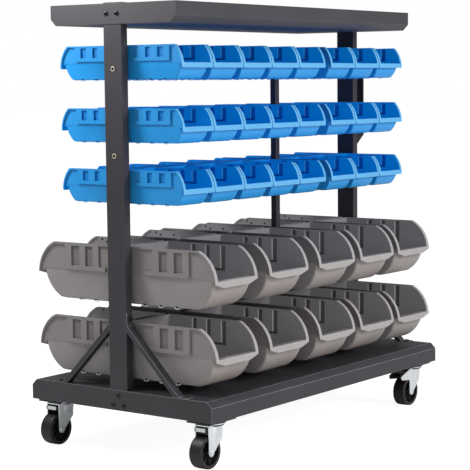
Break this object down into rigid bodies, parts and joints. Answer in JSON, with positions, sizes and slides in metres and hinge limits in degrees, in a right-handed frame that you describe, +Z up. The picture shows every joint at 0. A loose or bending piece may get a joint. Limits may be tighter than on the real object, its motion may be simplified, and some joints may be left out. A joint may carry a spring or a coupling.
{
  "type": "mobile bin cart",
  "caption": "Wheeled sheet-steel cart with hanging open-front storage bins on both sides, a top tray, a push handle and swivel casters",
  "frame": {"origin": "centre of the whole cart's footprint, on the floor under the wheels", "axes": "+X along the cart towards the push handle, +Y across the cart towards its back side, +Z up"},
  "size_m": [0.9998, 0.523, 1.0025],
  "materials": {
    "frame_steel": "charcoal satin powder coat",
    "handle_steel": "black satin paint",
    "blue_plastic": "moulded satin",
    "grey_plastic": "moulded satin",
    "zinc": "bright zinc plate",
    "wheel_rubber": "matt tread"
  },
  "bodies": {
    "frame": {"base_tray": "frame_steel", "top_tray": "frame_steel", "end_post_near": "frame_steel", "end_post_far": "frame_steel", "mid_post": "frame_steel", "bin_rail_1": "frame_steel", "bin_rail_2": "frame_steel", "bin_rail_3": "frame_steel", "bin_rail_4": "frame_steel", "bin_rail_5": "frame_steel", "brace_near_front": "frame_steel", "brace_near_back": "frame_steel", "brace_far_front": "frame_steel", "brace_far_back": "frame_steel", "push_handle": "handle_steel", "caster_plate_near_front": "zinc", "caster_plate_near_back": "zinc", "caster_plate_far_front": "zinc", "caster_plate_far_back": "zinc"},
    "fork_near_front": {"caster_fork_near_front": "zinc", "caster_axle_near_front": "zinc"},
    "wheel_near_front": {"caster_wheel_near_front": "wheel_rubber"},
    "fork_near_back": {"caster_fork_near_back": "zinc", "caster_axle_near_back": "zinc"},
    "wheel_near_back": {"caster_wheel_near_back": "wheel_rubber"},
    "fork_far_front": {"caster_fork_far_front": "zinc", "caster_axle_far_front": "zinc"},
    "wheel_far_front": {"caster_wheel_far_front": "wheel_rubber"},
    "pedal_far_front": {"brake_pedal_far_front": "handle_steel"},
    "fork_far_back": {"caster_fork_far_back": "zinc", "caster_axle_far_back": "zinc"},
    "wheel_far_back": {"caster_wheel_far_back": "wheel_rubber"},
    "pedal_far_back": {"brake_pedal_far_back": "handle_steel"},
    "small_bins_front_1": {"small_bins_front_1": "blue_plastic"},
    "small_bins_front_2": {"small_bins_front_2": "blue_plastic"},
    "small_bins_front_3": {"small_bins_front_3": "blue_plastic"},
    "small_bins_back_1": {"small_bins_back_1": "blue_plastic"},
    "small_bins_back_2": {"small_bins_back_2": "blue_plastic"},
    "small_bins_back_3": {"small_bins_back_3": "blue_plastic"},
    "large_bin_front_1_1": {"large_bin_front_1_1": "grey_plastic"},
    "large_bin_front_1_2": {"large_bin_front_1_2": "grey_plastic"},
    "large_bin_front_1_3": {"large_bin_front_1_3": "grey_plastic"},
    "large_bin_front_1_4": {"large_bin_front_1_4": "grey_plastic"},
    "large_bin_front_1_5": {"large_bin_front_1_5": "grey_plastic"},
    "large_bin_front_2_1": {"large_bin_front_2_1": "grey_plastic"},
    "large_bin_front_2_2": {"large_bin_front_2_2": "grey_plastic"},
    "large_bin_front_2_3": {"large_bin_front_2_3": "grey_plastic"},
    "large_bin_front_2_4": {"large_bin_front_2_4": "grey_plastic"},
    "large_bin_front_2_5": {"large_bin_front_2_5": "grey_plastic"},
    "large_bin_back_1_1": {"large_bin_back_1_1": "grey_plastic"},
    "large_bin_back_1_2": {"large_bin_back_1_2": "grey_plastic"},
    "large_bin_back_1_3": {"large_bin_back_1_3": "grey_plastic"},
    "large_bin_back_1_4": {"large_bin_back_1_4": "grey_plastic"},
    "large_bin_back_1_5": {"large_bin_back_1_5": "grey_plastic"},
    "large_bin_back_2_1": {"large_bin_back_2_1": "grey_plastic"},
    "large_bin_back_2_2": {"large_bin_back_2_2": "grey_plastic"},
    "large_bin_back_2_3": {"large_bin_back_2_3": "grey_plastic"},
    "large_bin_back_2_4": {"large_bin_back_2_4": "grey_plastic"},
    "large_bin_back_2_5": {"large_bin_back_2_5": "grey_plastic"}
  },
  "joints": [
    {"name": "swivel_near_front", "type": "hinge", "parent": "frame", "child": "fork_near_front", "pos_m": [-0.43915, -0.218, 0.0962], "axis": [0, 0, 1], "continuous": true},
    {"name": "wheel_spin_near_front", "type": "hinge", "parent": "fork_near_front", "child": "wheel_near_front", "pos_m": [-0.46325, -0.218, 0.0366], "axis": [0, 1, 0], "continuous": true},
    {"name": "swivel_near_back", "type": "hinge", "parent": "frame", "child": "fork_near_back", "pos_m": [-0.43915, 0.218, 0.0962], "axis": [0, 0, 1], "continuous": true},
    {"name": "wheel_spin_near_back", "type": "hinge", "parent": "fork_near_back", "child": "wheel_near_back", "pos_m": [-0.46325, 0.218, 0.0366], "axis": [0, 1, 0], "continuous": true},
    {"name": "swivel_far_front", "type": "hinge", "parent": "frame", "child": "fork_far_front", "pos_m": [0.39685, -0.218, 0.0962], "axis": [0, 0, 1], "continuous": true},
    {"name": "wheel_spin_far_front", "type": "hinge", "parent": "fork_far_front", "child": "wheel_far_front", "pos_m": [0.37275, -0.218, 0.0366], "axis": [0, 1, 0], "continuous": true},
    {"name": "brake_far_front", "type": "hinge", "parent": "fork_far_front", "child": "pedal_far_front", "pos_m": [0.36535, -0.218, 0.0904], "axis": [0, -1, 0], "range_deg": [0, 5]},
    {"name": "swivel_far_back", "type": "hinge", "parent": "frame", "child": "fork_far_back", "pos_m": [0.39685, 0.218, 0.0962], "axis": [0, 0, 1], "continuous": true},
    {"name": "wheel_spin_far_back", "type": "hinge", "parent": "fork_far_back", "child": "wheel_far_back", "pos_m": [0.37275, 0.218, 0.0366], "axis": [0, 1, 0], "continuous": true},
    {"name": "brake_far_back", "type": "hinge", "parent": "fork_far_back", "child": "pedal_far_back", "pos_m": [0.36535, 0.218, 0.0904], "axis": [0, -1, 0], "range_deg": [0, 5]},
    {"name": "lift_small_bins_front_1", "type": "slide", "parent": "frame", "child": "small_bins_front_1", "axis": [0, 0, 1], "range_m": [0, 0.012]},
    {"name": "lift_small_bins_front_2", "type": "slide", "parent": "frame", "child": "small_bins_front_2", "axis": [0, 0, 1], "range_m": [0, 0.012]},
    {"name": "lift_small_bins_front_3", "type": "slide", "parent": "frame", "child": "small_bins_front_3", "axis": [0, 0, 1], "range_m": [0, 0.012]},
    {"name": "lift_small_bins_back_1", "type": "slide", "parent": "frame", "child": "small_bins_back_1", "axis": [0, 0, 1], "range_m": [0, 0.012]},
    {"name": "lift_small_bins_back_2", "type": "slide", "parent": "frame", "child": "small_bins_back_2", "axis": [0, 0, 1], "range_m": [0, 0.012]},
    {"name": "lift_small_bins_back_3", "type": "slide", "parent": "frame", "child": "small_bins_back_3", "axis": [0, 0, 1], "range_m": [0, 0.012]},
    {"name": "lift_large_bin_front_1_1", "type": "slide", "parent": "frame", "child": "large_bin_front_1_1", "axis": [0, 0, 1], "range_m": [0, 0.012]},
    {"name": "lift_large_bin_front_1_2", "type": "slide", "parent": "frame", "child": "large_bin_front_1_2", "axis": [0, 0, 1], "range_m": [0, 0.012]},
    {"name": "lift_large_bin_front_1_3", "type": "slide", "parent": "frame", "child": "large_bin_front_1_3", "axis": [0, 0, 1], "range_m": [0, 0.012]},
    {"name": "lift_large_bin_front_1_4", "type": "slide", "parent": "frame", "child": "large_bin_front_1_4", "axis": [0, 0, 1], "range_m": [0, 0.012]},
    {"name": "lift_large_bin_front_1_5", "type": "slide", "parent": "frame", "child": "large_bin_front_1_5", "axis": [0, 0, 1], "range_m": [0, 0.012]},
    {"name": "lift_large_bin_front_2_1", "type": "slide", "parent": "frame", "child": "large_bin_front_2_1", "axis": [0, 0, 1], "range_m": [0, 0.012]},
    {"name": "lift_large_bin_front_2_2", "type": "slide", "parent": "frame", "child": "large_bin_front_2_2", "axis": [0, 0, 1], "range_m": [0, 0.012]},
    {"name": "lift_large_bin_front_2_3", "type": "slide", "parent": "frame", "child": "large_bin_front_2_3", "axis": [0, 0, 1], "range_m": [0, 0.012]},
    {"name": "lift_large_bin_front_2_4", "type": "slide", "parent": "frame", "child": "large_bin_front_2_4", "axis": [0, 0, 1], "range_m": [0, 0.012]},
    {"name": "lift_large_bin_front_2_5", "type": "slide", "parent": "frame", "child": "large_bin_front_2_5", "axis": [0, 0, 1], "range_m": [0, 0.012]},
    {"name": "lift_large_bin_back_1_1", "type": "slide", "parent": "frame", "child": "large_bin_back_1_1", "axis": [0, 0, 1], "range_m": [0, 0.012]},
    {"name": "lift_large_bin_back_1_2", "type": "slide", "parent": "frame", "child": "large_bin_back_1_2", "axis": [0, 0, 1], "range_m": [0, 0.012]},
    {"name": "lift_large_bin_back_1_3", "type": "slide", "parent": "frame", "child": "large_bin_back_1_3", "axis": [0, 0, 1], "range_m": [0, 0.012]},
    {"name": "lift_large_bin_back_1_4", "type": "slide", "parent": "frame", "child": "large_bin_back_1_4", "axis": [0, 0, 1], "range_m": [0, 0.012]},
    {"name": "lift_large_bin_back_1_5", "type": "slide", "parent": "frame", "child": "large_bin_back_1_5", "axis": [0, 0, 1], "range_m": [0, 0.012]},
    {"name": "lift_large_bin_back_2_1", "type": "slide", "parent": "frame", "child": "large_bin_back_2_1", "axis": [0, 0, 1], "range_m": [0, 0.012]},
    {"name": "lift_large_bin_back_2_2", "type": "slide", "parent": "frame", "child": "large_bin_back_2_2", "axis": [0, 0, 1], "range_m": [0, 0.012]},
    {"name": "lift_large_bin_back_2_3", "type": "slide", "parent": "frame", "child": "large_bin_back_2_3", "axis": [0, 0, 1], "range_m": [0, 0.012]},
    {"name": "lift_large_bin_back_2_4", "type": "slide", "parent": "frame", "child": "large_bin_back_2_4", "axis": [0, 0, 1], "range_m": [0, 0.012]},
    {"name": "lift_large_bin_back_2_5", "type": "slide", "parent": "frame", "child": "large_bin_back_2_5", "axis": [0, 0, 1], "range_m": [0, 0.012]}
  ]
}
